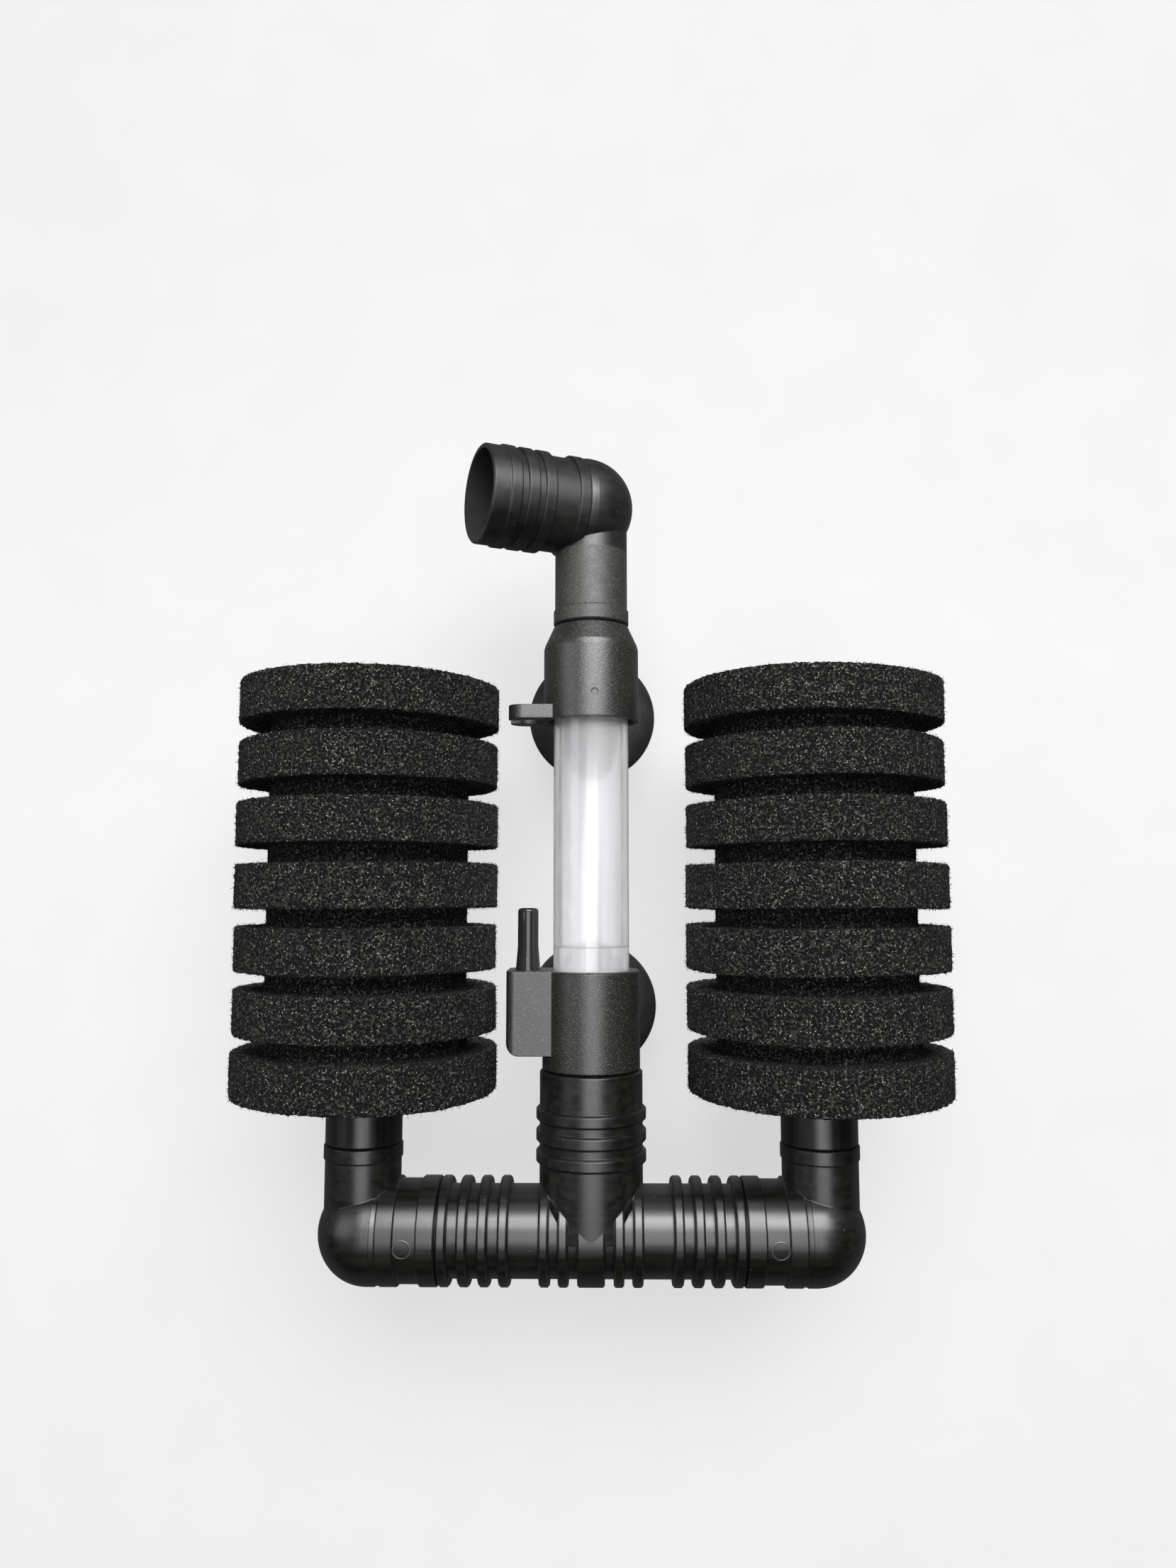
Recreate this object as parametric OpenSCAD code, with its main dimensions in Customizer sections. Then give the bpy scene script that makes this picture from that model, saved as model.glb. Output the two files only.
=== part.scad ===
// Twin sponge filter for an aquarium or pond tub, held on the glass by two suction cups.
// An air-lift column stands on a tee; each arm of the tee carries a folding foam cartridge.
// Sizes are in millimetres. The origin is the centre of the lower suction cup on the plane
// of the glass, +Y points into the glass and +Z points up the column.

/* [Sponges] */
// Outer radius of each foam disc
sponge_r = 32.5; // [28:0.5:45]
// Radius of the foam core between the discs
core_r = 24.9; // [20:0.1:27]
// Number of discs on each sponge
disc_count = 7; // [5:1:8]
// Thickness of one disc
disc_t = 10.65; // [8:0.05:11]
// Height of the groove between two discs
groove_h = 4.6; // [3:0.1:6]
// Foam left beyond the closed end of the strainer
foam_cap = 7; // [4:0.5:12]
// Bevel left by the knife on the edges of a disc
disc_edge = 0.4; // [0.2:0.1:1.5]
// Gap between the foam and the strainer that it slides on
foam_clear = 0.3; // [0.3:0.05:0.8]

/* [Layout] */
// Gap between the air box and the sponge beside it
box_clear = 3.3; // [2.6:0.1:12]
// Gap between the back of the sponges and the glass
glass_gap = 1; // [0.5:0.5:10]
// Gap between parts that turn on each other, measured along their axis
seam = 0.3; // [0.3:0.1:0.6]
// Radial clearance of a turning or push fit
fit_gap = 0.05; // [0.02:0.01:0.1]
// Turn of the spout away from the left sponge, towards the front
spout_turn = 24.5; // [0:0.5:180]

/* [Tee manifold] */
// Outer radius of the tee's arms, which plug into the elbows
arm_r = 11; // [9:0.1:13.2]
// Wall thickness of the arms
arm_wall = 1.8; // [1.2:0.1:2.6]
// Length of arm inside each elbow
arm_plug = 12.6; // [8:0.1:12.8]
// Wall thickness of the upright branch round its socket
branch_wall = 3.2; // [2:0.1:4]
// Height of the branch above the axis of the arms
branch_h = 39.06; // [34:0.02:46]
// How far the ribs on the arms stand proud
arm_rib = 1.9; // [1:0.1:3]
// How far the ribs on the branch stand proud
branch_rib = 0.85; // [0.5:0.05:1.5]
// Width of one rib
rib_w = 2.5; // [2:0.1:3]
// Distance from one rib to the next
rib_pitch = 4.9; // [4:0.1:5.2]
// Chamfer on the edges of a rib
rib_chamfer = 0.45; // [0.2:0.05:0.7]

/* [Folding elbows] */
// Distance from the mouth of an elbow to the axis of its leg
elbow_reach = 19.5; // [19.5:0.1:24]
// Height of the leg's stop band above the axis of the arms
leg_h = 21.3; // [19:0.1:30]
// Length of strainer seen below the foam
strainer_seen = 12.5; // [8:0.5:20]
// Wall thickness of an elbow round its socket
elbow_wall = 1.85; // [1.2:0.05:2.6]
// Outer radius of the strainer
strainer_r = 9.45; // [7.8:0.05:11.4]
// Wall thickness of the strainer
strainer_wall = 1.4; // [1:0.1:1.8]
// Width of one slot in the strainer
slot_w = 2.4; // [1.5:0.1:3.5]
// Height of one slot in the strainer
slot_h = 7; // [4:0.5:8]

/* [Column] */
// Outer radius of the clear riser tube
riser_r = 9.6; // [8:0.1:11.6]
// Wall thickness of the riser tube
riser_wall = 1.85; // [1.4:0.05:2.2]
// Depth of the step at the wider lower end of the riser tube's bore
riser_step = 0.8; // [0.4:0.1:1]
// Length of riser tube seen between the two connectors
riser_seen = 63.25; // [50:0.25:90]
// Height of the air injector's body
injector_h = 24.4; // [22:0.1:32]
// Wall thickness of the air injector's socket
injector_wall = 2.62; // [2:0.02:3.4]
// Wall thickness of the upper connector's socket
connector_wall = 2.55; // [2.2:0.05:3.4]
// Height of the connector's straight wall
connector_h = 19.8; // [19:0.1:26]
// Height of the connector's shoulder cone
cone_h = 4.8; // [4:0.1:7]
// Depth of the riser tube inside the injector
riser_plug = 13.7; // [10:0.1:14]
// Depth of the riser tube inside the upper connector
riser_top_plug = 12.5; // [9:0.1:14]

/* [Outlet] */
// Height of the spout's axis above the underside of the outlet's stop band
outlet_rise = 31.2; // [30:0.1:50]
// Distance from the column's axis to the mouth of the spout
spout_reach = 31; // [30:0.5:34]
// Bore radius of the spout
spout_bore_r = 11.3; // [9.4:0.1:13.6]
// Wall thickness of the spout's lip
spout_wall = 1.2; // [0.8:0.1:2]

/* [Air supply] */
// Distance from the injector's wall out to the air nipple's axis
nipple_out = 3.73; // [3.3:0.01:6]
// Radius of the nipple where it leaves the air box
nipple_base_r = 3.1; // [2.8:0.05:3.3]
// Radius of the nipple's straight end, which takes the airline
nipple_r = 2.6; // [2.3:0.05:2.8]
// Length of the nipple above the air box
nipple_h = 15.5; // [12:0.5:22]
// Distance from the nipple's axis to the outer wall of the air box
box_out = 5; // [4.6:0.1:6]
// Half of the front-to-back depth of the air box and the airline clip
box_half = 7.5; // [6:0.1:8]
// Height of the air box
box_h = 20.5; // [18:0.1:21.5]
// Radius of the airline clip's eye
clip_r = 3.6; // [3:0.1:3.8]
// Width of the opening that the airline snaps through
clip_gap = 5.2; // [3:0.1:5.4]
// Thickness of the airline clip
clip_h = 3.5; // [2.5:0.1:5]

/* [Suction cups] */
// Radius of a suction cup's rim
cup_r = 18; // [14:0.5:20]
// Depth of a suction cup from the glass to its shoulder
cup_depth = 8.6; // [7.6:0.1:9.6]
// Radius of the cup's neck, held in the bracket's slot
neck_r = 3.2; // [2.8:0.1:3.6]
// Radius of the button behind the neck
button_r = 5.2; // [4.8:0.1:5.6]
// Thickness of the button
button_t = 3.2; // [2.6:0.1:3.4]
// Thickness of the bracket plate that the neck passes through
plate_t = 3; // [2.4:0.1:3.6]
// Height of the lower cup's centre above the underside of the injector
lower_cup_rise = 12; // [8:0.1:16]
// Height of the upper cup's centre above the underside of the upper connector
upper_cup_rise = 6.2; // [5.6:0.1:8]

/* [Hidden] */
$fn = 96;
eps = 0.01;
// How far a cut runs past a face, and how deep a joined shape is buried
over = 1;

// Chamfers on the ends of bands, tubes and spigots
band_edge = 0.3;
socket_edge = 0.35;
spigot_edge = 0.4;
tube_edge = 0.5;

// Heights up the column, above the axis of the tee's arms
injector_z = branch_h + seam;
injector_top = injector_z + injector_h;
riser_z = injector_top - riser_plug;
connector_z = injector_top + riser_seen;
connector_top = connector_z + connector_h;
riser_top = connector_z + riser_top_plug;
swivel_gap = 2 * seam;
outlet_z = connector_top + cone_h + swivel_gap;
spout_z = outlet_z + outlet_rise;
cup_low_z = injector_z + lower_cup_rise;
cup_high_z = connector_z + upper_cup_rise;

// Radii that follow the tubes and sockets
riser_bore_r = riser_r - riser_wall;
riser_wide_r = riser_bore_r + riser_step;
wide_seen = 6;
socket_r = riser_r + fit_gap;
injector_r = socket_r + injector_wall;
connector_r = socket_r + connector_wall;
branch_r = socket_r + branch_wall;
branch_rib_r = branch_r + branch_rib;
arm_bore_r = arm_r - arm_wall;
arm_rib_r = arm_r + arm_rib;

// Places across the filter
nipple_x = injector_r + nipple_out;
box_reach = nipple_x + box_out;
arm_reach = sponge_r + box_reach + box_clear;
mouth_x = arm_reach - elbow_reach;
tee_half = mouth_x - seam;
glass_y = sponge_r + glass_gap;

// Ribs of the tee
centre_band = 6.7;
centre_ribs = [5.5, 10.1];
branch_rib_w = 3.2;
branch_rib_pitch = 5.1;
branch_rib_drop = 6.95;
branch_rib_z = branch_h - branch_rib_drop;

// Sponge and strainer
sponge_h = disc_count * disc_t + (disc_count - 1) * groove_h;
sponge_z = leg_h + strainer_seen;
strainer_h = strainer_seen + sponge_h - foam_cap;
strainer_bore_r = strainer_r - strainer_wall;
spigot_r = strainer_bore_r - fit_gap;
spigot_h = 11;
spigot_wall = 1.2;
strainer_end = 2;
slot_bar = 3;
slot_pitch = slot_h + slot_bar;
slot_start = strainer_seen + 5;
slot_rows = floor((strainer_h - slot_start - strainer_end) / slot_pitch);

// Elbow bands, measured from the leg's axis towards the mouth
bend_proud = 1.25;
band_w = 4.45;
band_h = 3.7;
band_proud = 0.3;
bend_r = arm_r + fit_gap + elbow_wall;
waist_step = 0.65;
waist_r = bend_r - waist_step;
leg_step = 0.05;
leg_r = strainer_r - leg_step;
band_r = strainer_r + band_proud;
bend_offset = bend_r - leg_r - bend_proud;
bend_straight = 1.85;
bend_end = bend_offset + bend_straight;
bend_groove = 1.2;
groove_end = bend_end + bend_groove;
seat_s = elbow_reach - arm_plug - 2 * seam;
leg_bore_r = spigot_r - spigot_wall;
bend_room = 1.2;
bend_bore_r = leg_bore_r + bend_room;

// Outlet spout ribs, measured from the column's axis towards the mouth
spout_lip_r = spout_bore_r + spout_wall;
spout_step = 0.4;
spout_rib_r = spout_lip_r + spout_step;
spout_waist_r = spout_lip_r - spout_step;
outlet_leg_step = 0.2;
outlet_leg_r = riser_r - outlet_leg_step;
outlet_band_proud = 0.15;
outlet_band_r = riser_r + outlet_band_proud;
spout_bend_offset = spout_rib_r - outlet_leg_r - bend_proud;
spout_straight = 1.15;
spout_bend_end = spout_bend_offset + spout_straight;
spout_groove = 1.85;
spout_band_s = spout_bend_end + spout_groove;
spout_band_w = 3.05;
spout_rib_w = 3;
spout_rib_pitch = 4.55;
spout_lip_w = 4.4;
spout_rib_s = spout_reach - spout_lip_w - 2 * spout_rib_pitch - spout_rib_w;
spout_seat_in = 3.6;
spout_seat_s = spout_bend_end + spout_seat_in;
outlet_band_h = 4.06;
outlet_plug = 9.5;
outlet_spigot_step = 0.25;
outlet_spigot_r = riser_bore_r + outlet_spigot_step;
outlet_bore_r = outlet_spigot_r - spigot_wall;
outlet_bend_bore_r = outlet_bore_r + bend_room;

// Injector
plug_h = 13;
plug_step = 0.55;
plug_bore_r = riser_bore_r - plug_step;
diffuser_h = 9;
diffuser_gap = 0.06;
diffuser_end_gap = 0.1;
groove_spare = 0.8;
diffuser_r = riser_wide_r - diffuser_gap;
diffuser_wall = 0.7;
diffuser_step = 0.3;
diffuser_bore_r = plug_bore_r - diffuser_step;
box_wall = 1.8;
jet_r = 0.6;
jet_count = 12;
duct_h = 3.4;
duct_w = 4;
nipple_bore_r = 1.4;
nipple_plug_r = 2.2;
nipple_cone_h = 6;
nipple_plug_past = 1.2;
box_room_gap = 0.5;
clip_rise = 0.1;
clip_z = connector_z + clip_rise;
lead_room = 1.3;
lead_r = riser_r + lead_room;
lead_h = 4;
connector_edge = 0.3;
connector_edge_h = 1.2;
cone_step = 0.1;

// Suction cup brackets
bracket_half = 7.5;
bracket_h = 14.5;
plate_y = glass_y - cup_depth;
button_room = 0.4;
slide_gap = 0.15;
rim_t = 0.9;
rim_land = 1.4;
cup_hollow = 4.6;
shoulder_step = 1.6;
button_edge = 0.8;

// One chamfered ring from z = 0 up to z = w
module ring(r, w, chamfer = rib_chamfer) {
    rotate_extrude()
        polygon([[0, 0], [r - chamfer, 0], [r, chamfer], [r, w - chamfer], [r - chamfer, w], [0, w]]);
}

// Turns a shape that is drawn along +Z so that it runs along -X, from the column outwards
module along_left() {
    rotate([0, -90, 0]) children();
}

// Moves the column from the axis of the tee's arms to the part's own frame
module in_frame() {
    translate([0, -glass_y, -cup_low_z]) children();
}

// A right-hand and a left-hand copy share one drawing, which is made for the right
module on_side(side) {
    in_frame() mirror([side < 0 ? 1 : 0, 0, 0]) translate([arm_reach, 0, 0]) children();
}

// Bracket block with an open-topped slot that the cup's button slides down into
module bracket_block(z_low) {
    translate([-bracket_half, 0, z_low]) cube([2 * bracket_half, plate_y, bracket_h]);
}

module bracket_slot(cup_z, z_top) {
    button_y = plate_y - plate_t - button_t - button_room;
    slot_cut(button_r + slide_gap, cup_z, z_top, button_y, plate_y - plate_t);
    slot_cut(neck_r + slide_gap, cup_z, z_top, plate_y - plate_t - eps, plate_y + over);
}

module slot_cut(r, cup_z, z_top, y_near, y_far) {
    translate([0, y_near, cup_z]) rotate([-90, 0, 0]) cylinder(r = r, h = y_far - y_near);
    translate([-r, y_near, cup_z]) cube([2 * r, y_far - y_near, z_top - cup_z + over]);
}

// A rubber cup, drawn along +Z from the glass at z = 0 towards its button
module cup_shape() {
    shoulder_r = neck_r + shoulder_step;
    dome_h = cup_depth - rim_t;
    neck_z = cup_depth + plate_t + slide_gap;
    difference() {
        union() {
            rotate_extrude() polygon(concat(
                [[0, 0], [cup_r, 0]],
                [for (a = [0 : 9 : 90]) [
                    shoulder_r + (cup_r - shoulder_r) * cos(a), rim_t + dome_h * sin(a)]],
                [[0, cup_depth]]));
            cylinder(r = neck_r, h = neck_z + over);
            translate([0, 0, neck_z]) ring(button_r, button_t - slide_gap, button_edge);
        }
        rotate_extrude() polygon(concat(
            [[0, -over], [cup_r - rim_land, -over]],
            [for (a = [0 : 9 : 90]) [(cup_r - rim_land) * cos(a), cup_hollow * sin(a)]]));
    }
}

module cup_at(cup_z) {
    in_frame() translate([0, glass_y, cup_z]) rotate([90, 0, 0]) cup_shape();
}

// Ribs of one arm of the tee, from the centre outwards
module arm_ribs() {
    for (x = centre_ribs) translate([0, 0, x]) ring(arm_rib_r, rib_w);
    for (i = [0 : 3]) translate([0, 0, tee_half - rib_w - i * rib_pitch]) ring(arm_rib_r, rib_w);
}

module riser_tube() {
    wide_h = riser_plug + wide_seen;
    color([0.85, 0.87, 0.9, 0.4]) in_frame() translate([0, 0, riser_z]) difference() {
        cylinder(r = riser_r, h = riser_top - riser_z);
        translate([0, 0, -over]) cylinder(r = riser_bore_r, h = riser_top - riser_z + 2 * over);
        translate([0, 0, -over]) cylinder(r = riser_wide_r, h = wide_h + over);
    }
}

module upper_connector() {
    swivel_z = outlet_z - outlet_plug - seam;
    color([0.12, 0.12, 0.12]) in_frame() difference() {
        union() {
            translate([0, 0, connector_z]) rotate_extrude() polygon([
                [0, 0], [connector_r, 0], [connector_r, connector_h - connector_edge_h],
                [connector_r - connector_edge, connector_h],
                [riser_r + cone_step, connector_h + cone_h], [0, connector_h + cone_h]]);
            bracket_block(connector_z);
            translate([0, 0, clip_z]) linear_extrude(clip_h) clip_outline();
        }
        translate([0, 0, connector_z - over]) cylinder(r = socket_r, h = riser_top_plug + over);
        translate([0, 0, connector_z - over]) cylinder(r = lead_r, h = lead_h + over);
        translate([0, 0, riser_top - over]) cylinder(r = riser_bore_r, h = connector_h);
        translate([0, 0, swivel_z]) cylinder(r = outlet_spigot_r + fit_gap, h = connector_h);
        bracket_slot(cup_high_z, connector_z + bracket_h);
    }
}

// Plan of the airline clip: a lug with round outer corners and an eye that opens outwards
module clip_outline() {
    corner = 3.6;
    difference() {
        union() {
            translate([-box_reach + corner, -box_half]) square([box_reach - corner, 2 * box_half]);
            translate([-box_reach, -box_half + corner]) square([corner + over, 2 * (box_half - corner)]);
            for (y = [-1, 1]) translate([-box_reach + corner, y * (box_half - corner)])
                circle(r = corner);
        }
        translate([-nipple_x, 0]) circle(r = clip_r);
        translate([-box_reach - over, -clip_gap / 2]) square([box_reach - nipple_x + over, clip_gap]);
    }
}

// Air box seen from the front, with its large lower corner
module box_front() {
    corner = 3.3;
    translate([-box_reach + corner, -box_h]) square([box_reach - corner, box_h]);
    translate([-box_reach, -box_h + corner]) square([corner + over, box_h - corner]);
    translate([-box_reach + corner, -box_h + corner]) circle(r = corner);
}

// Air box seen from above
module box_plan() {
    corner = 2;
    translate([-box_reach + corner, -box_half]) square([box_reach - corner, 2 * box_half]);
    translate([-box_reach, -box_half + corner]) square([corner + over, 2 * (box_half - corner)]);
    for (y = [-1, 1]) translate([-box_reach + corner, y * (box_half - corner)]) circle(r = corner);
}

module injector_body() {
    diffuser_z = riser_z - diffuser_h;
    room_x = injector_r + box_room_gap;
    room_y = box_half - box_wall;
    room_z = injector_top - box_h + box_wall;
    color([0.13, 0.13, 0.13]) in_frame() difference() {
        union() {
            translate([0, 0, injector_z]) ring(injector_r, injector_h, socket_edge);
            translate([0, 0, injector_z - plug_h]) ring(riser_r, plug_h + over, spigot_edge);
            translate([0, 0, injector_top]) intersection() {
                rotate([90, 0, 0]) linear_extrude(2 * (box_half + over), center = true) box_front();
                translate([0, 0, -box_h]) linear_extrude(box_h) box_plan();
            }
            bracket_block(cup_low_z - bracket_h / 2);
        }
        translate([0, 0, riser_z]) cylinder(r = socket_r, h = riser_plug + over);
        translate([0, 0, diffuser_z]) cylinder(r = riser_wide_r, h = diffuser_h + over);
        translate([0, 0, injector_z - plug_h - over])
            cylinder(r = plug_bore_r, h = plug_h + injector_h);
        translate([-box_reach + box_wall, -room_y, room_z])
            cube([box_reach - box_wall - room_x, 2 * room_y, box_h - 2 * box_wall]);
        translate([-room_x - over, -duct_w / 2, duct_z()])
            cube([room_x + over - diffuser_bore_r, duct_w, duct_h]);
        translate([-nipple_x, 0, injector_top - box_wall - over])
            cylinder(r = nipple_plug_r + fit_gap, h = box_wall + 2 * over);
        bracket_slot(cup_low_z, cup_low_z + bracket_h / 2);
    }
}

// Underside of the air duct, centred on the groove of the diffuser
function duct_z() = riser_z - diffuser_h / 2 - duct_h / 2;

module air_nipple() {
    tip_round = 0.9;
    plug = box_wall + nipple_plug_past;
    color([0.08, 0.08, 0.08]) in_frame() translate([-nipple_x, 0, injector_top]) difference() {
        rotate_extrude() polygon(concat(
            [[0, -plug], [nipple_plug_r, -plug], [nipple_plug_r, 0], [nipple_base_r, 0],
             [nipple_r, nipple_cone_h]],
            [for (a = [0 : 15 : 90]) [
                nipple_r - tip_round + tip_round * cos(a),
                nipple_h - tip_round + tip_round * sin(a)]],
            [[0, nipple_h]]));
        translate([0, 0, -plug - over]) cylinder(r = nipple_bore_r, h = plug + nipple_h + 2 * over);
    }
}

// Ring with a groove round its outside that feeds a row of fine air jets
module air_diffuser() {
    groove_room = duct_h + groove_spare;
    mid = diffuser_h / 2;
    throat_r = diffuser_bore_r;
    color([0.3, 0.32, 0.34]) in_frame() translate([0, 0, riser_z - diffuser_h]) difference() {
        cylinder(r = diffuser_r, h = diffuser_h - diffuser_end_gap);
        translate([0, 0, -over]) cylinder(r = throat_r, h = diffuser_h + 2 * over);
        translate([0, 0, mid - groove_room / 2]) difference() {
            cylinder(r = diffuser_r + over, h = groove_room);
            translate([0, 0, -over]) cylinder(r = throat_r + diffuser_wall, h = groove_room + 2 * over);
        }
        for (a = [0 : 360 / jet_count : 359]) rotate([0, 0, a])
            translate([throat_r - over, 0, mid]) rotate([0, 90, 0])
                cylinder(r = jet_r, h = diffuser_r - throat_r + 2 * over);
    }
}

module upper_suction_cup() {
    color([0.16, 0.16, 0.16]) cup_at(cup_high_z);
}

module lower_suction_cup() {
    color([0.16, 0.16, 0.16]) cup_at(cup_low_z);
}

module tee_manifold() {
    socket_h = plug_h + over;
    color([0.14, 0.14, 0.13]) in_frame() difference() {
        union() {
            cylinder(r = branch_r, h = branch_h - over);
            translate([0, 0, branch_h - 2 * over]) ring(branch_r, 2 * over, socket_edge);
            for (i = [1 : 3]) translate([0, 0, branch_rib_z - i * branch_rib_pitch])
                ring(branch_rib_r, branch_rib_w, tube_edge);
            translate([-tee_half - arm_plug, 0, 0]) rotate([0, 90, 0])
                ring(arm_r, 2 * (tee_half + arm_plug), tube_edge);
            translate([-centre_band / 2, 0, 0]) rotate([0, 90, 0]) ring(arm_rib_r, centre_band);
            along_left() arm_ribs();
            mirror([1, 0, 0]) along_left() arm_ribs();
        }
        translate([0, 0, branch_h - socket_h]) cylinder(r = socket_r, h = socket_h + over);
        cylinder(r = riser_bore_r, h = branch_h);
        translate([-tee_half - arm_plug - over, 0, 0]) rotate([0, 90, 0])
            cylinder(r = arm_bore_r, h = 2 * (tee_half + arm_plug + over));
    }
}

module outlet_elbow() {
    color([0.15, 0.15, 0.15]) in_frame() translate([0, 0, spout_z]) rotate([0, 0, spout_turn])
    difference() {
        union() {
            along_left() spout_bands();
            translate([0, 0, -outlet_rise]) ring(outlet_band_r, outlet_band_h, socket_edge);
            translate([0, 0, -outlet_rise + over]) cylinder(r = outlet_leg_r, h = outlet_rise - over);
            translate([0, 0, -outlet_rise - outlet_plug])
                ring(outlet_spigot_r, outlet_plug + over, spigot_edge);
        }
        along_left() translate([0, 0, spout_seat_s]) cylinder(r = spout_bore_r, h = spout_reach);
        along_left() cylinder(r = outlet_bend_bore_r, h = spout_reach);
        sphere(r = outlet_bend_bore_r);
        translate([0, 0, -outlet_rise - outlet_plug - over])
            cylinder(r = outlet_bore_r, h = outlet_rise + outlet_plug + over);
    }
}

module spout_bands() {
    lip_h = spout_lip_w + tube_edge;
    translate([0, 0, spout_bend_offset]) {
        sphere(r = spout_rib_r);
        cylinder(r = spout_rib_r, h = spout_bend_end - spout_bend_offset);
        cylinder(r = spout_waist_r, h = spout_reach - spout_bend_offset - over);
    }
    translate([0, 0, spout_band_s]) ring(spout_rib_r, spout_band_w, band_edge);
    for (i = [0 : 2]) translate([0, 0, spout_rib_s + i * spout_rib_pitch])
        ring(spout_rib_r, spout_rib_w, band_edge);
    translate([0, 0, spout_reach - lip_h]) ring(spout_lip_r, lip_h, band_edge);
}

// Folding elbow, drawn with its leg on the Z axis and its mouth towards -X
module folding_elbow() {
    color([0.14, 0.14, 0.13]) difference() {
        union() {
            along_left() {
                translate([0, 0, bend_offset]) sphere(r = bend_r);
                translate([0, 0, bend_offset]) cylinder(r = bend_r, h = bend_end - bend_offset);
                translate([0, 0, bend_offset])
                    cylinder(r = waist_r, h = elbow_reach - bend_offset - over);
                translate([0, 0, groove_end]) ring(bend_r, band_w, band_edge);
                translate([0, 0, elbow_reach - band_w]) ring(bend_r, band_w, band_edge);
            }
            cylinder(r = leg_r, h = leg_h - over);
            translate([0, 0, leg_h - band_h]) ring(band_r, band_h, socket_edge);
            translate([0, 0, leg_h - over]) ring(spigot_r, spigot_h + over, spigot_edge);
        }
        along_left() translate([0, 0, seat_s]) cylinder(r = arm_r + fit_gap, h = elbow_reach);
        along_left() cylinder(r = bend_bore_r, h = elbow_reach);
        sphere(r = bend_bore_r);
        cylinder(r = leg_bore_r, h = leg_h + spigot_h + over);
    }
}

// Slotted strainer with a closed top, standing on the elbow's stop band
module strainer() {
    color([0.13, 0.13, 0.12]) translate([0, 0, leg_h]) difference() {
        ring(strainer_r, strainer_h, spigot_edge);
        translate([0, 0, -over]) cylinder(r = strainer_bore_r, h = strainer_h - strainer_end + over);
        for (row = [0 : slot_rows - 1], a = [0, 60, 120]) rotate([0, 0, a + 30])
            translate([-strainer_r - over, -slot_w / 2, slot_start + row * slot_pitch])
                cube([2 * (strainer_r + over), slot_w, slot_h]);
    }
}

// Foam cartridge: a core with evenly spaced discs and a blind bore for the strainer
module sponge() {
    bore_h = sponge_h - foam_cap + foam_clear;
    color([0.2, 0.2, 0.2]) translate([0, 0, sponge_z]) difference() {
        union() {
            cylinder(r = core_r, h = sponge_h);
            for (i = [0 : disc_count - 1]) translate([0, 0, i * (disc_t + groove_h)])
                ring(sponge_r, disc_t, disc_edge);
        }
        translate([0, 0, -over]) cylinder(r = strainer_r + foam_clear, h = bore_h + over);
    }
}

module left_elbow() {
    on_side(-1) folding_elbow();
}

module right_elbow() {
    on_side(1) folding_elbow();
}

module left_strainer() {
    on_side(-1) strainer();
}

module right_strainer() {
    on_side(1) strainer();
}

module left_sponge() {
    on_side(-1) sponge();
}

module right_sponge() {
    on_side(1) sponge();
}

riser_tube();
upper_connector();
injector_body();
air_nipple();
air_diffuser();
upper_suction_cup();
lower_suction_cup();
tee_manifold();
outlet_elbow();
left_elbow();
right_elbow();
left_strainer();
right_strainer();
left_sponge();
right_sponge();
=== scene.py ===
from math import cos, pi, radians, sin

import bpy
import numpy as np
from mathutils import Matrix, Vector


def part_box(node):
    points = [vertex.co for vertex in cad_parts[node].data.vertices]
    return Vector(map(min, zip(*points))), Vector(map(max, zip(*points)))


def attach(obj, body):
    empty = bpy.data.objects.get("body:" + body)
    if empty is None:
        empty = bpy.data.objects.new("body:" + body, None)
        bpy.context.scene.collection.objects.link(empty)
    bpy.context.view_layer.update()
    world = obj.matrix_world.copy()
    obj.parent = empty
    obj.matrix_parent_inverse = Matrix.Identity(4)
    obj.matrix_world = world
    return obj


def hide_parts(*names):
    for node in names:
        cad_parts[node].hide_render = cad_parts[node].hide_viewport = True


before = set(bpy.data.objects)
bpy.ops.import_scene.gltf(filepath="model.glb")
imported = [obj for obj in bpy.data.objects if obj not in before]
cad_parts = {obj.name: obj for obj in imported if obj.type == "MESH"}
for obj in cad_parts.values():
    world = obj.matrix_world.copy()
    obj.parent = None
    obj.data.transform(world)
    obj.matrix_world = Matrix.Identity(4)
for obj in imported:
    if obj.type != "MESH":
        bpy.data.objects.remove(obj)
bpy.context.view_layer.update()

# ---- Clear riser tube ----
# Extruded acrylic, cut square, its lower end bored wider to seat in the injector.
# Air bubbles lift the water through it. It is a push fit in both black mouldings.


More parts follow.
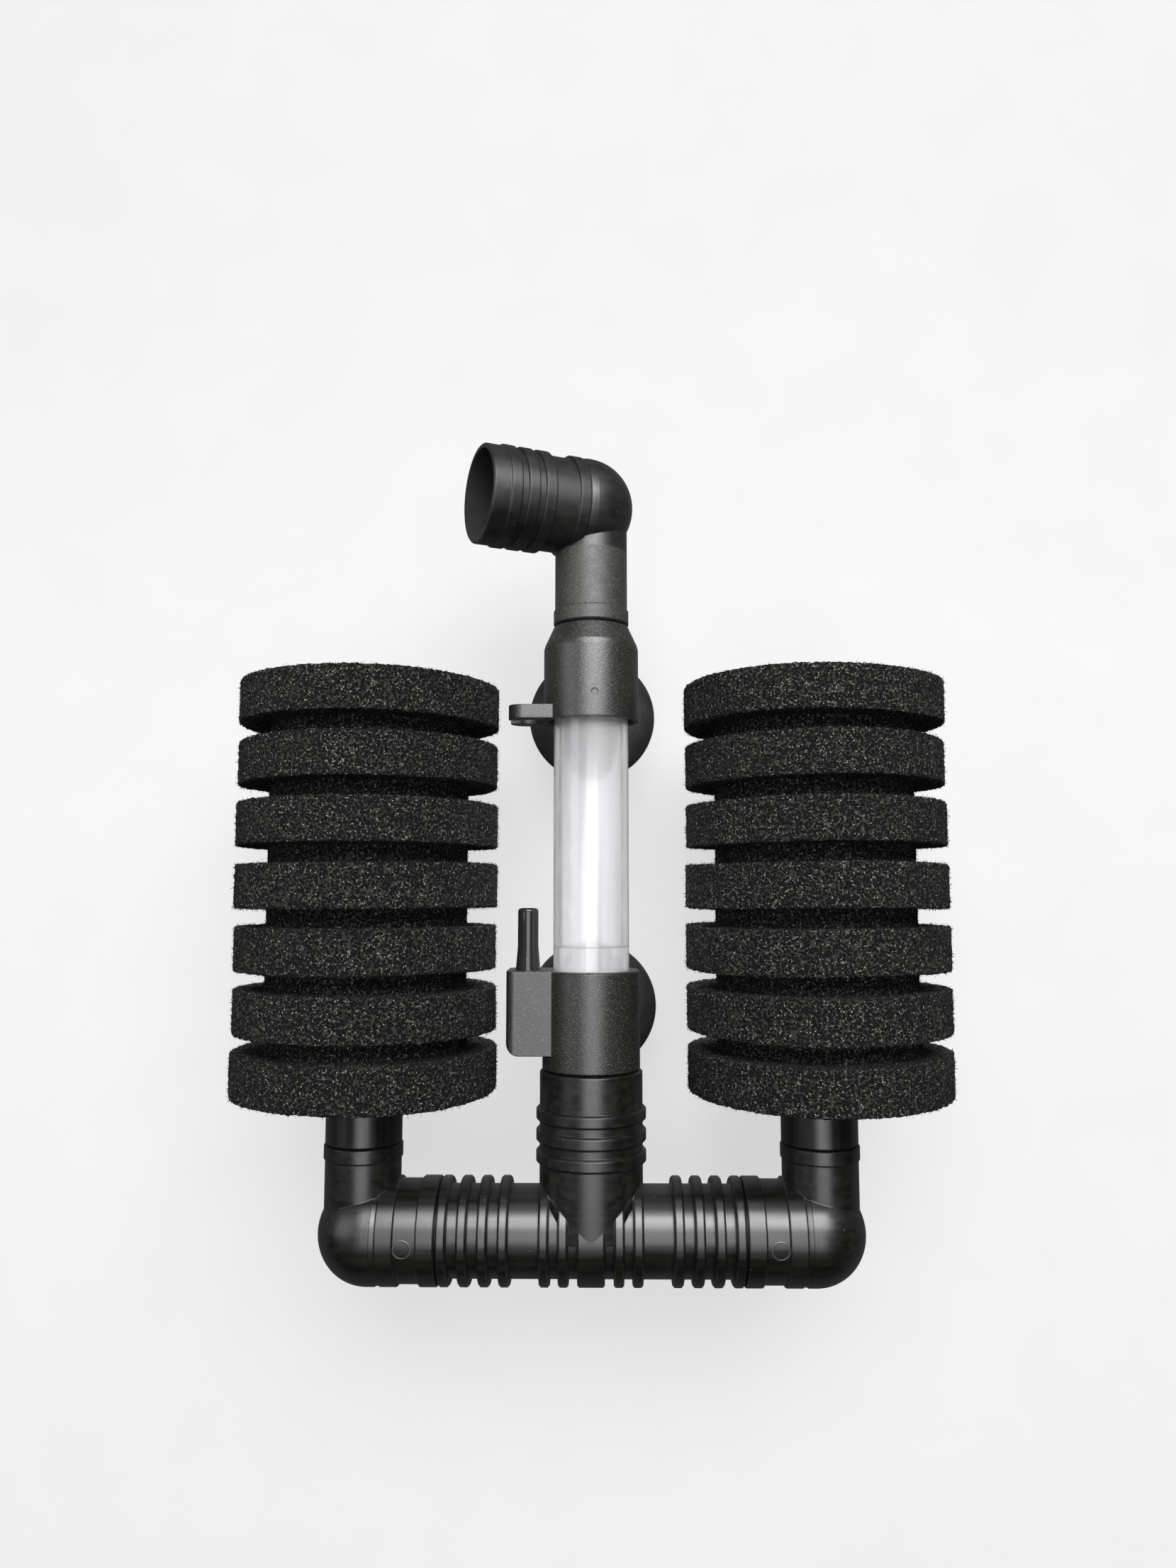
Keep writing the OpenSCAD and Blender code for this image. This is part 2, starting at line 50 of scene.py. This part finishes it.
class Wire:
    """One value of a material on its way between nodes; arithmetic on Wires adds Math nodes."""

    def __init__(self, socket):
        self.socket = socket

    def node(self, kind, settings=(), values=(), out=0):
        """Add a node of any other kind: its settings first, then the values and links it takes."""
        tree = self.socket.id_data
        made = tree.nodes.new("ShaderNode" + kind)
        for key, value in dict(settings).items():
            setattr(made, key, value)
        for key, value in dict(values).items():
            if isinstance(value, Wire):
                tree.links.new(value.socket, made.inputs[key])
            else:
                made.inputs[key].default_value = value
        return Wire(made.outputs[out]) if made.outputs else None

    def math(self, operation, *terms):
        """A Math step on the terms, which are values or Wires."""
        return self.node("Math", {"operation": operation}, dict(enumerate(terms)))

    def __add__(self, other):
        return self.math("ADD", self, other)

    def __sub__(self, other):
        return self.math("SUBTRACT", self, other)

    def __rsub__(self, other):
        return self.math("SUBTRACT", other, self)

    def __mul__(self, other):
        return self.math("MULTIPLY", self, other)

    __radd__ = __add__
    __rmul__ = __mul__

    def vector(self, operation, other, out=0):
        """A Vector Math step with another vector; out is "Value" where it gives a number."""
        return self.node("VectorMath", {"operation": operation}, {0: self, 1: other}, out)

    def height(self):
        """The Z part of these coordinates."""
        return self.node("SeparateXYZ", {}, {0: self}, "Z")

    def far_from(self, centre, depth):
        """Distance from a centre, with the distance front to back counted only depth times."""
        flat = self.vector("SUBTRACT", centre).vector("MULTIPLY", (1, depth, 1))
        return flat.vector("LENGTH", (0, 0, 0), "Value")

    def size(self):
        """The value without its sign."""
        return self.math("ABSOLUTE", self)

    def step(self, low, high):
        """0 up to low, 1 from high, smooth between; low may be the larger of the two."""
        ends = {"Value": self, "From Min": low, "From Max": high}
        return self.node("MapRange", {"interpolation_type": "SMOOTHSTEP"}, ends)

    def blend(self, first, second):
        """first where this is 0, second where it is 1; both are colours."""
        return self.node("Mix", {"data_type": "RGBA"}, {0: self, 6: first, 7: second}, 2)

    def noise(self, scale, detail=2.0, stretch=(1, 1, 1)):
        """Cloudy values around 0.5 over these coordinates, in cells of 1 / scale metres."""
        laid = self.node("Mapping", {}, {"Vector": self, "Scale": stretch})
        return laid.node("TexNoise", {}, {"Vector": laid, "Scale": scale, "Detail": detail})

    def specks(self, scale, share, radius):
        """1 inside small round specks, one in each of that share of the cells of 1 / scale."""
        cells = {"Vector": self, "Scale": scale}
        near = self.node("TexVoronoi", {}, cells)
        chance = self.node("SeparateColor", {}, {0: self.node("TexVoronoi", {}, cells, 1)})
        return near.step(radius, radius * 0.6) * chance.step(share, share * 0.98)

    def bump(self, height, distance, strength=1.0, under=None):
        """A normal from a height of 0 to 1 that stands for the given distance in metres."""
        values = {"Height": height, "Distance": distance, "Strength": strength}
        if under is not None:
            values["Normal"] = under
        return self.node("Bump", {}, values)


def start_finish(name):
    """Begin a material and give it back with the Wire of its object coordinates."""
    finish = bpy.data.materials.new(name)
    finish.use_nodes = True
    finish.node_tree.nodes.clear()
    coords = finish.node_tree.nodes.new("ShaderNodeTexCoord")
    return finish, Wire(coords.outputs["Object"])


def end_finish(place, shader):
    """Send a shader to the material's output."""
    place.node("OutputMaterial", {}, {"Surface": shader})


def dress(finish, *nodes):
    """Give CAD nodes a finish in the slot they already have."""
    for node in nodes:
        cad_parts[node].material_slots[0].material = finish


STEP_ABOVE_END = 0.0197
STEP_LINE = 0.00035


def clear_acrylic(step_z):
    """Clear tube with a milky cast, faint draw lines along it and a little dust. At the bore's
    step, at the height step_z, a grey line of painted shade fades over STEP_LINE each way."""
    finish, place = start_finish("riser_acrylic")
    lines = place.noise(300.0, 3.0, (4.0, 4.0, 0.02))
    dust = place.specks(260.0, 0.05, 0.05)
    # Painted shade: a grey line in the colour at the bore's step.
    step_shade = (place.height() - step_z).size().step(STEP_LINE, 0.00012)
    band = place.noise(260.0, 1.0, (1, 1, 0.04)).step(0.35, 0.65)
    cast = band.blend((0.66, 0.66, 0.67, 1), (0.82, 0.82, 0.825, 1))
    cast = (step_shade * 0.45).blend(cast, (0.3, 0.3, 0.3, 1))
    tint = dust.blend(cast, (0.4, 0.4, 0.4, 1))
    surface = place.node("BsdfPrincipled", {}, {
        "Base Color": tint,
        "Roughness": lines.step(0.3, 0.7) * 0.06 + 0.09,
        "IOR": 1.49,
        "Transmission Weight": 0.78,
        "Normal": place.bump(lines, 0.00004, 0.6),
    })
    shadow = place.node("LightPath", {}, {}, "Is Shadow Ray")
    open_way = place.node("BsdfTransparent", {}, {"Color": (0.87, 0.87, 0.88, 1)})
    end_finish(place, place.node("MixShader", {}, {0: shadow, 1: surface, 2: open_way}))
    return finish


dress(clear_acrylic(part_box("riser_tube")[0].z + STEP_ABOVE_END), "riser_tube")

# ---- Upper connector and air injector ----
# Two black polypropylene mouldings with a spark-eroded grain. The upper one holds the
# airline clip and takes the outlet; the lower one has the air box and plugs into the tee.

COLUMN_Y = -0.0335
DIMPLE_AT = (0.001, -0.045, 0.08164)
DIMPLE_R = 0.0008
DIMPLE_FADE = 0.00015
GRAIN_CELLS = 2600.0
PAINTED_HIGHLIGHT_CELLS = 3000.0
EDGE_ROUNDING = 0.00035


def spark_eroded(place, grain, dark, light):
    """Colour of a spark-eroded skin: painted shade in the hollows of the grain, painted light on
    its tops, and a painted highlight speck in about one cell of five."""
    # Painted highlights: bright specks in the base colour stand in for light caught by the grain.
    painted_highlights = place.specks(PAINTED_HIGHLIGHT_CELLS, 0.22, 0.30)
    return painted_highlights.blend(grain.step(0.3, 0.75).blend(dark, light), (0.2, 0.2, 0.18, 1))


def grained_black(name, dimple):
    """Fine grain with painted shade and painted highlight specks; dimple is the middle of the gate mark
    on the front, or None.
    """
    finish, place = start_finish(name)
    coarse = place.noise(GRAIN_CELLS, 3.0)
    fine = place.noise(6500.0, 1.0)
    grain = coarse * 0.65 + fine * 0.35
    dust = place.specks(420.0, 0.035, 0.10)
    # Painted shade in the grain's hollows and painted highlight specks, from spark_eroded.
    tone = spark_eroded(place, grain, (0.005, 0.005, 0.0045, 1), (0.03, 0.03, 0.027, 1))
    tone = dust.blend(tone, (0.33, 0.32, 0.3, 1))
    height = grain
    if dimple:
        mark = place.far_from(dimple, 0.12).step(DIMPLE_R + DIMPLE_FADE, DIMPLE_R - DIMPLE_FADE)
        tone = mark.blend(tone, (0.003, 0.003, 0.003, 1))
        height = grain - mark * 2.0
    edge = place.node("Bevel", {"samples": 4}, {"Radius": EDGE_ROUNDING})
    surface = place.node("BsdfPrincipled", {}, {
        "Base Color": tone,
        "Roughness": coarse.step(0.3, 0.7) * 0.14 + 0.3,
        "Specular IOR Level": 1.0,
        "Normal": place.bump(height, 0.0001, 0.6, edge),
    })
    end_finish(place, surface)
    return finish


dress(grained_black("connector_grain", DIMPLE_AT), "upper_connector")
dress(grained_black("injector_grain", None), "injector_body")

# ---- Air nipple and diffuser ----
# A tapered nipple for the airline hose and the ring that breaks the air into bubbles,
# both turned smooth in the mould and pressed into the injector.


def polished_black():
    """Smooth glossy black with a slightly rippled skin and a few specks of dust."""
    finish, place = start_finish("nipple_gloss")
    ripple = place.noise(260.0, 1.0, (1, 1, 0.35))
    dust = place.specks(800.0, 0.06, 0.14)
    surface = place.node("BsdfPrincipled", {}, {
        "Base Color": dust.blend((0.02, 0.02, 0.02, 1), (0.16, 0.16, 0.15, 1)),
        "Roughness": dust * 0.4 + 0.11,
        "Coat Weight": 0.3,
        "Coat Roughness": 0.05,
        "Normal": place.bump(ripple, 0.00012, 0.5),
    })
    end_finish(place, surface)
    return finish


dress(polished_black(), "air_nipple", "air_diffuser")

# ---- Suction cups ----
# Soft black rubber cups that button into brackets behind the column and hold the
# filter to the tank's glass. The dome is matt, with a bloom that gathers dust.


def black_rubber():
    """Matt rubber with faint clouding and pale lint."""
    finish, place = start_finish("cup_rubber")
    cloud = place.noise(140.0, 4.0)
    lint = place.specks(520.0, 0.03, 0.09)
    tone = cloud.step(0.3, 0.75).blend((0.017, 0.018, 0.017, 1), (0.032, 0.034, 0.032, 1))
    surface = place.node("BsdfPrincipled", {}, {
        "Base Color": lint.blend(tone, (0.2, 0.2, 0.19, 1)),
        "Roughness": cloud * 0.2 + 0.42,
        "Specular IOR Level": 0.4,
        "Normal": place.bump(place.noise(3800.0), 0.00003, 0.4),
    })
    end_finish(place, surface)
    return finish


dress(black_rubber(), "upper_suction_cup", "lower_suction_cup")

# ---- Tee manifold ----
# Satin black moulding with grip ribs round its branch and both arms. The injector
# plugs into the branch, and the two folding elbows turn on the arms.

SEAM_HALF = 0.00012
GATE_R = 0.00205
GRAIN_FADE = 0.0004
FINE_ROUNDING = 0.0003
SPOUT_START = 0.004


def satin_black(name, streak, seam=(0, 1, 0), gate=None, grained_below=None, matt=0.26,
                spout=None):
    """Moulded satin black. streak stretches the flow lines, and seam is across the split
    of the mould, which passes through the column's axis; gate is the middle of a round mark.
    Below the height grained_below the mould was spark-eroded, so the skin there has the grain, with
    painted shade in its hollows and painted highlight specks.
    matt is the least roughness of the skin. spout is the height, direction and bore radius
    of a spout on the column, whose bore is painted near black, as shade, and made rough."""
    finish, place = start_finish(name)
    flow = place.noise(420.0, 4.0, streak)
    cloud = place.noise(90.0, 3.0)
    orange_peel = place.noise(2200.0, 2.0)
    dust = place.specks(330.0, 0.04, 0.05)
    fluff = place.specks(900.0, 0.03, 0.10)
    tone = flow.step(0.25, 0.8).blend((0.003, 0.003, 0.0026, 1), (0.010, 0.010, 0.0088, 1))
    tone = (cloud.step(0.45, 0.8) * 0.5).blend(tone, (0.015, 0.0147, 0.013, 1))
    tone = dust.math("MAXIMUM", dust, fluff).blend(tone, (0.27, 0.26, 0.24, 1))
    from_axis = place.vector("SUBTRACT", (0, COLUMN_Y, 0))
    across = from_axis.vector("DOT_PRODUCT", seam, "Value")
    line = across.size().step(SEAM_HALF, 0.00005)
    height = flow * 0.5 + orange_peel * 0.5 + line * 1.6
    if gate:
        far = place.far_from(gate, 0.1)
        ring = far.step(GATE_R - 0.0002, GATE_R) * far.step(GATE_R + 0.00025, GATE_R + 0.00005)
        height = height + ring * 2.4
        tone = (ring * 0.6).blend(tone, (0.1, 0.1, 0.095, 1))
    rough = flow.step(0.2, 0.8) * 0.1 + cloud * 0.06 + matt
    if grained_below:
        leg = place.height().step(grained_below + GRAIN_FADE, grained_below - GRAIN_FADE)
        grain = place.noise(GRAIN_CELLS, 3.0)
        # Painted shade and painted highlight specks on the grained leg, from spark_eroded.
        skin = spark_eroded(place, grain, (0.012, 0.012, 0.011, 1), (0.05, 0.05, 0.046, 1))
        tone = leg.blend(tone, skin)
        height = height + leg * grain * 2.0
        rough = rough + leg * 0.1
    if spout:
        spout_z, outward, bore_r = spout
        along = from_axis.vector("DOT_PRODUCT", outward, "Value")
        above = place.height() - spout_z
        from_spout = above.math("SQRT", above * above + across * across)
        past_bend = along.step(SPOUT_START, SPOUT_START + 0.002)
        # Painted shade: the spout's bore past the bend is coloured near black, and made rougher.
        bore_shade = past_bend * from_spout.step(bore_r + 0.00045, bore_r + 0.0002)
        tone = bore_shade.blend(tone, (0.0004, 0.0004, 0.0004, 1))
        rough = rough + bore_shade * 0.5
    edge = place.node("Bevel", {"samples": 4}, {"Radius": FINE_ROUNDING})
    surface = place.node("BsdfPrincipled", {}, {
        "Base Color": tone,
        "Roughness": rough,
        "Specular IOR Level": 0.9,
        "Normal": place.bump(height, 0.00005, 0.5, edge),
    })
    end_finish(place, surface)
    return finish


ALONG_X = (0.05, 1.6, 1.6)
ALONG_Z = (1.6, 1.6, 0.05)
dress(satin_black("tee_satin", ALONG_X), "tee_manifold")

# ---- Outlet elbow ----
# The ribbed spout is moulded in one with its leg, which turns in the connector's
# socket. Its mould splits in the plane of the bend, through the spout and the leg.

SPOUT_TURN = radians(24.5)
SPLIT = (-sin(SPOUT_TURN), cos(SPOUT_TURN), 0)
OUTWARD = (-cos(SPOUT_TURN), -sin(SPOUT_TURN), 0)
LEG_TOP = 0.12
SPOUT_RIB_R = 0.0129
SPOUT_BORE_R = 0.0113
spout = (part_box("outlet_elbow")[1].z - SPOUT_RIB_R, OUTWARD, SPOUT_BORE_R)
outlet_satin = satin_black("outlet_satin", (0.5, 0.5, 0.9), SPLIT, None, LEG_TOP, 0.36, spout)
dress(outlet_satin, "outlet_elbow")

# ---- Folding elbows and strainers ----
# A ball-cornered elbow turns on each arm of the tee and carries a slotted strainer,
# closed at its end, over which the foam slides. All four are the same satin black.

GATE_X = 0.0449
GATE_Y = COLUMN_Y - 0.0127
GATE_Z = -0.05236
for side, gate_x in (("left", -GATE_X), ("right", GATE_X)):
    elbow_satin = satin_black(side + "_elbow_satin", ALONG_X, gate=(gate_x, GATE_Y, GATE_Z))
    dress(elbow_satin, side + "_elbow")
    dress(satin_black(side + "_strainer_satin", ALONG_Z), side + "_strainer")

# ---- Foam cartridges ----
# Open-cell charcoal foam, turned with six deep grooves and bored blind for the strainer.
# Cut struts stand up all over the skin, so every edge is slightly ragged.

DISC_COUNT = 7
DISC_HEIGHT = 0.01065
GROOVE_HEIGHT = 0.0046
DISC_R = 0.0325
CORE_R = 0.0249
BORE_R = 0.00985
BORE_END = 0.0067
EDGE_ROUND = 0.0004
ROUND_STEPS = 320
BORE_GAPS = [0.002, 0.0032]
GROOVE_GAP = 0.0009
DISC_GAPS = [0.001, 0.0005, 0.0005, 0.0006, 0.0005, 0.0005, 0.001]
SWAY = (0.00016, 0.00008)
HEAVE = (0.00018, 0.00010)
FUZZ = 0.00011
FUZZ_MOST = 0.00026


def foam_profile(low_z, high_z):
    """The cut outline as rows of (radius, height): up the bore from its closed end's middle
    to the mouth, out along the foot, in and out over the grooves, and in across the top.
    Each straight line between two corners is cut into equal steps no longer than its gap."""
    corners = [(0, high_z - BORE_END), (BORE_R, high_z - BORE_END), (BORE_R, low_z)]
    gaps = list(BORE_GAPS)
    for disc in range(DISC_COUNT):
        foot = low_z + disc * (DISC_HEIGHT + GROOVE_HEIGHT)
        head = foot + DISC_HEIGHT
        inner = [BORE_R if disc == 0 else CORE_R, CORE_R if disc < DISC_COUNT - 1 else 0]
        corners += [(inner[0], foot)] if disc else []
        gaps += [GROOVE_GAP] if disc else []
        corners += [(DISC_R - EDGE_ROUND, foot), (DISC_R - EDGE_ROUND * 0.3, foot + EDGE_ROUND * 0.3)]
        corners += [(DISC_R, foot + EDGE_ROUND), (DISC_R, head - EDGE_ROUND)]
        corners += [(DISC_R - EDGE_ROUND * 0.3, head - EDGE_ROUND * 0.3), (DISC_R - EDGE_ROUND, head)]
        corners += [(inner[1], head)]
        gaps += DISC_GAPS
    rows = [np.array(corners[:1])]
    for start, stop, gap in zip(corners, corners[1:], gaps):
        start, stop = np.array(start), np.array(stop)
        count = max(1, int(np.ceil(np.linalg.norm(stop - start) / gap)))
        share = np.arange(1, count + 1)[:, None] / count
        rows.append(start + (stop - start) * share)
    return np.concatenate(rows)


def foam_cartridge(name, node, body, finish, seed):
    """The outline turned round the node's upright axis. Each point moves along the skin's
    normal by a slow wave, its own for each disc, plus a random fuzz; small struts, closed
    three-sided spikes, are set on the outside. Both ends of the outline are single points."""
    dice = np.random.default_rng(seed)
    low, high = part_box(node)
    middle_x, middle_y = (low.x + high.x) / 2, (low.y + high.y) / 2
    radius, height = foam_profile(low.z, high.z).T
    count = len(radius)
    along = np.stack([np.gradient(radius), np.gradient(height)])
    along /= np.linalg.norm(along, axis=0) + 1e-12
    out_r, out_z = along[1], -along[0]
    turn = np.arange(ROUND_STEPS) * (2 * pi / ROUND_STEPS)
    bore = (radius <= BORE_R * 1.02) & (height < high.z - BORE_END + 1e-6)
    bore[-1] = False
    disc = np.floor((height - low.z) / (DISC_HEIGHT + GROOVE_HEIGHT) + 0.15).clip(0, DISC_COUNT - 1)
    phase = dice.uniform(0, 2 * pi, (4, DISC_COUNT))[:, disc.astype(int), None]
    rim = ((radius - CORE_R) / (DISC_R - CORE_R)).clip(0.2, 1)[:, None]
    sway = np.sin(2 * turn + phase[0]) * SWAY[0] + np.sin(5 * turn + phase[1]) * SWAY[1]
    heave = np.sin(2 * turn + phase[2]) * HEAVE[0] + np.sin(3 * turn + phase[3]) * HEAVE[1]
    fuzz = dice.normal(0, FUZZ, (count, ROUND_STEPS)).clip(-FUZZ_MOST, FUZZ_MOST)
    fuzz = np.where(bore[:, None], np.abs(fuzz) * -0.3, fuzz)
    calm = np.where(bore, 0, 1)[:, None]
    ring_r = radius[:, None] + out_r[:, None] * fuzz + sway * rim * calm
    ring_z = height[:, None] + out_z[:, None] * fuzz + heave * rim * calm * (radius > 0)[:, None]
    normal = np.stack([out_r[:, None] * np.cos(turn), out_r[:, None] * np.sin(turn),
                       out_z[:, None] + 0 * turn], -1)
    skin = np.stack([middle_x + ring_r * np.cos(turn), middle_y + ring_r * np.sin(turn), ring_z], -1)
    poles = np.array([[middle_x, middle_y, height[0]], [middle_x, middle_y, height[-1]]])
    inner = skin[1:-1].reshape(-1, 3)
    row = np.arange(count - 3)[:, None] * ROUND_STEPS + 2
    here = np.arange(ROUND_STEPS)
    there = (here + 1) % ROUND_STEPS
    quads = np.stack([row + here, row + there, row + ROUND_STEPS + there, row + ROUND_STEPS + here], -1)
    quads = quads.reshape(-1, 4)
    last = 2 + (count - 3) * ROUND_STEPS
    first_fan = np.stack([0 * here, 2 + there, 2 + here], -1)
    last_fan = np.stack([0 * here + 1, last + here, last + there], -1)
    points = np.concatenate([poles, inner])
    spikes, spike_faces = foam_struts(dice, skin, normal, bore, len(points))
    points = np.concatenate([points, spikes])
    tris = np.concatenate([first_fan, last_fan, spike_faces])
    return foam_mesh(name, node, body, finish, points, quads, tris)


STRUTS = 44000
STRUT_ROOT = 0.00012
STRUT_SCATTER = 0.0002
STRUT_SLANT = 0.55
STRUT_THICK = (0.00005, 0.0001)
STRUT_LENGTH = (0.0002, 0.0007)


def foam_struts(dice, skin, normal, bore, offset):
    """Closed three-sided spikes rooted just under the skin: a triangle of points round a
    root, and a tip that leans away along the normal plus a random slant."""
    rows = dice.choice(np.flatnonzero(~bore)[2:-2], STRUTS)
    cols = dice.integers(0, ROUND_STEPS, STRUTS)
    root = skin[rows, cols] + dice.normal(0, STRUT_SCATTER, (STRUTS, 3))
    lean = normal[rows, cols] + dice.normal(0, STRUT_SLANT, (STRUTS, 3))
    lean /= np.linalg.norm(lean, axis=1)[:, None]
    side = np.cross(lean, dice.normal(0, 1, (STRUTS, 3)))
    side /= np.linalg.norm(side, axis=1)[:, None]
    other = np.cross(lean, side)
    thick = dice.uniform(*STRUT_THICK, STRUTS)[:, None]
    length = dice.uniform(*STRUT_LENGTH, STRUTS)[:, None]
    foot = root - lean * STRUT_ROOT
    ring = [foot + thick * (side * cos(a) + other * sin(a)) for a in (0, 2 * pi / 3, 4 * pi / 3)]
    points = np.stack(ring + [root + lean * length], 1).reshape(-1, 3)
    shape = np.array([[0, 2, 1], [0, 1, 3], [1, 2, 3], [2, 0, 3]])
    faces = (offset + np.arange(STRUTS)[:, None, None] * 4 + shape).reshape(-1, 3)
    return points, faces


def foam_mesh(name, node, body, finish, points, quads, tris):
    """Put the points and faces into a smooth-shaded mesh that stands for the CAD node."""
    mesh = bpy.data.meshes.new(name)
    loops = np.concatenate([quads.ravel(), tris.ravel()])
    starts = np.concatenate([np.arange(len(quads)) * 4, len(quads) * 4 + np.arange(len(tris)) * 3])
    mesh.vertices.add(len(points))
    mesh.vertices.foreach_set("co", points.ravel())
    mesh.loops.add(len(loops))
    mesh.loops.foreach_set("vertex_index", loops.astype(np.int32))
    mesh.polygons.add(len(starts))
    mesh.polygons.foreach_set("loop_start", starts.astype(np.int32))
    mesh.polygons.foreach_set("use_smooth", np.ones(len(starts), bool))
    mesh.update(calc_edges=True)
    piece = bpy.data.objects.new(name, mesh)
    bpy.context.scene.collection.objects.link(piece)
    piece.data.materials.append(finish)
    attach(piece, body)
    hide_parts(node)
    return piece


PORE_CELLS = 1550.0


def charcoal_foam():
    """Round pores, two thirds of a millimetre from one to the next, painted near black as shade,
    in a dark web of struts, some of which carry painted highlight specks."""
    finish, place = start_finish("charcoal_foam_skin")
    warp = place.node("TexNoise", {}, {"Vector": place, "Scale": 1500.0, "Detail": 1.0}, 1)
    shove = warp.node("VectorMath", {"operation": "SCALE"}, {0: warp, "Scale": 0.0003})
    bent = place.vector("ADD", shove)
    pore = place.node("TexVoronoi", {}, {"Vector": bent, "Scale": PORE_CELLS})
    web = pore.step(0.42, 0.62)
    small = place.noise(7000.0, 1.0)
    cloud = place.noise(120.0, 3.0)
    # Painted highlights: bright specks on the struts stand in for light they catch.
    painted_highlight = place.specks(3000.0, 0.3, 0.38) * web
    # Painted shade: the pores are coloured near black, the struts the foam's own dark grey.
    tone = web.blend((0.0003, 0.0003, 0.0003, 1), (0.028, 0.0277, 0.0245, 1))
    tone = (small.step(0.45, 0.75) * web * 0.5).blend(tone, (0.055, 0.054, 0.047, 1))
    tone = (cloud.step(0.4, 0.8) * 0.3).blend(tone, (0.008, 0.008, 0.0075, 1))
    tone = painted_highlight.blend(tone, (0.6, 0.6, 0.56, 1))
    surface = place.node("BsdfPrincipled", {}, {
        "Base Color": tone,
        "Roughness": 0.85 - painted_highlight * 0.4,
        "Specular IOR Level": 0.25,
        "Normal": place.bump(web * 0.8 + small * 0.4, 0.0008, 1.0),
    })
    end_finish(place, surface)
    return finish


charcoal = charcoal_foam()
for side, seed in (("left", 11), ("right", 23)):
    foam_cartridge(side + "_foam_cartridge", side + "_sponge", side + "_foam", charcoal, seed)

# ---- Studio ----
# The filter lies on its back on a plain pale sheet, under wide soft lights in front. The
# sheet shows only its front, so the filter can be looked at, and is lit, from behind.

SHEET_Y = 0.022
SHEET_HALF = 3.0


def pale_sheet():
    """Matt off-white with a faint glow, paler for the camera and through the clear tube than
    for other rays. It lets through what looks at its back, and the light from behind."""
    finish, place = start_finish("pale_sheet")
    fibre = place.noise(40.0, 2.0)
    tone = fibre.step(0.3, 0.7).blend((0.215, 0.215, 0.215, 1), (0.225, 0.225, 0.227, 1))
    through = place.node("LightPath", {}, {}, "Is Transmission Ray")
    direct = place.node("LightPath", {}, {}, "Is Camera Ray")
    seen = direct.math("MAXIMUM", direct, through)
    paper = place.node("BsdfDiffuse", {}, {"Color": seen.blend((0.05, 0.05, 0.05, 1), tone)})
    upper = place.height().step(0.02, 0.3)
    strength = seen * (0.575 - upper * 0.09) + 0.05
    glow = place.node("Emission", {}, {"Color": (1, 1, 1, 1), "Strength": strength})
    front = place.node("AddShader", {}, {0: paper, 1: glow})
    shadow = place.node("LightPath", {}, {}, "Is Shadow Ray")
    behind = shadow.math("MAXIMUM", shadow, place.node("NewGeometry", {}, {}, "Backfacing"))
    clear = place.node("BsdfTransparent")
    end_finish(place, place.node("MixShader", {}, {0: behind, 1: front, 2: clear}))
    return finish


sheet_mesh = bpy.data.meshes.new("pale_sheet")
sheet_mesh.from_pydata(
    [(-SHEET_HALF, SHEET_Y, -SHEET_HALF), (SHEET_HALF, SHEET_Y, -SHEET_HALF),
     (SHEET_HALF, SHEET_Y, SHEET_HALF), (-SHEET_HALF, SHEET_Y, SHEET_HALF)], [], [(0, 1, 2, 3)])
sheet = bpy.data.objects.new("pale_sheet", sheet_mesh)
bpy.context.scene.collection.objects.link(sheet)
sheet.data.materials.append(pale_sheet())


def soft_lamp(name, place, aim, size, watts):
    """A rectangular soft light at place, turned towards aim."""
    lamp = bpy.data.lights.new(name, "AREA")
    lamp.shape = "RECTANGLE"
    lamp.size, lamp.size_y = size
    lamp.energy = watts
    holder = bpy.data.objects.new(name, lamp)
    bpy.context.scene.collection.objects.link(holder)
    holder.location = place
    holder.rotation_euler = (aim - holder.location).to_track_quat("-Z", "Y").to_euler()
    return holder


low_corner, high_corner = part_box("riser_tube")
aim = (low_corner + high_corner) / 2
soft_lamp("ceiling_light", (0.12, -0.75, 0.5), aim, (0.72, 0.5), 11.5)
soft_lamp("front_fill", (0.04, -0.95, -0.08), aim, (0.6, 0.5), 2.9)
soft_lamp("room_fill", (-0.8, -0.6, 0.2), aim, (0.6, 0.6), 1.8)
soft_lamp("back_light", (0.0, 0.9, 0.45), aim, (1.3, 0.6), 16.0)

world = bpy.data.worlds.new("studio")
bpy.context.scene.world = world
world.use_nodes = True
world.node_tree.nodes.clear()
toward = Wire(world.node_tree.nodes.new("ShaderNodeTexCoord").outputs["Generated"])
room = toward.height().step(-0.15, 0.9).blend((0.006, 0.006, 0.006, 1), (0.2, 0.2, 0.205, 1))
seen = toward.node("LightPath", {}, {}, "Is Camera Ray").blend(room, (0.9, 0.9, 0.905, 1))
toward.node("OutputWorld", {}, {"Surface": toward.node("Background", {}, {"Color": seen})})

CAMERA_PLACE = (0.00219, -0.30915, 0.03291)
CAMERA_TILT = radians(95.536)
CAMERA_TURN = radians(0.622)
camera = bpy.data.objects.new("camera", bpy.data.cameras.new("camera"))
bpy.context.scene.collection.objects.link(camera)
camera.location = CAMERA_PLACE
camera.rotation_euler = (CAMERA_TILT, 0, CAMERA_TURN)
camera.data.sensor_width = 36.0
camera.data.lens = 24.70
camera.data.clip_start = 0.01
bpy.context.scene.camera = camera
bpy.context.scene.view_settings.view_transform = "Standard"
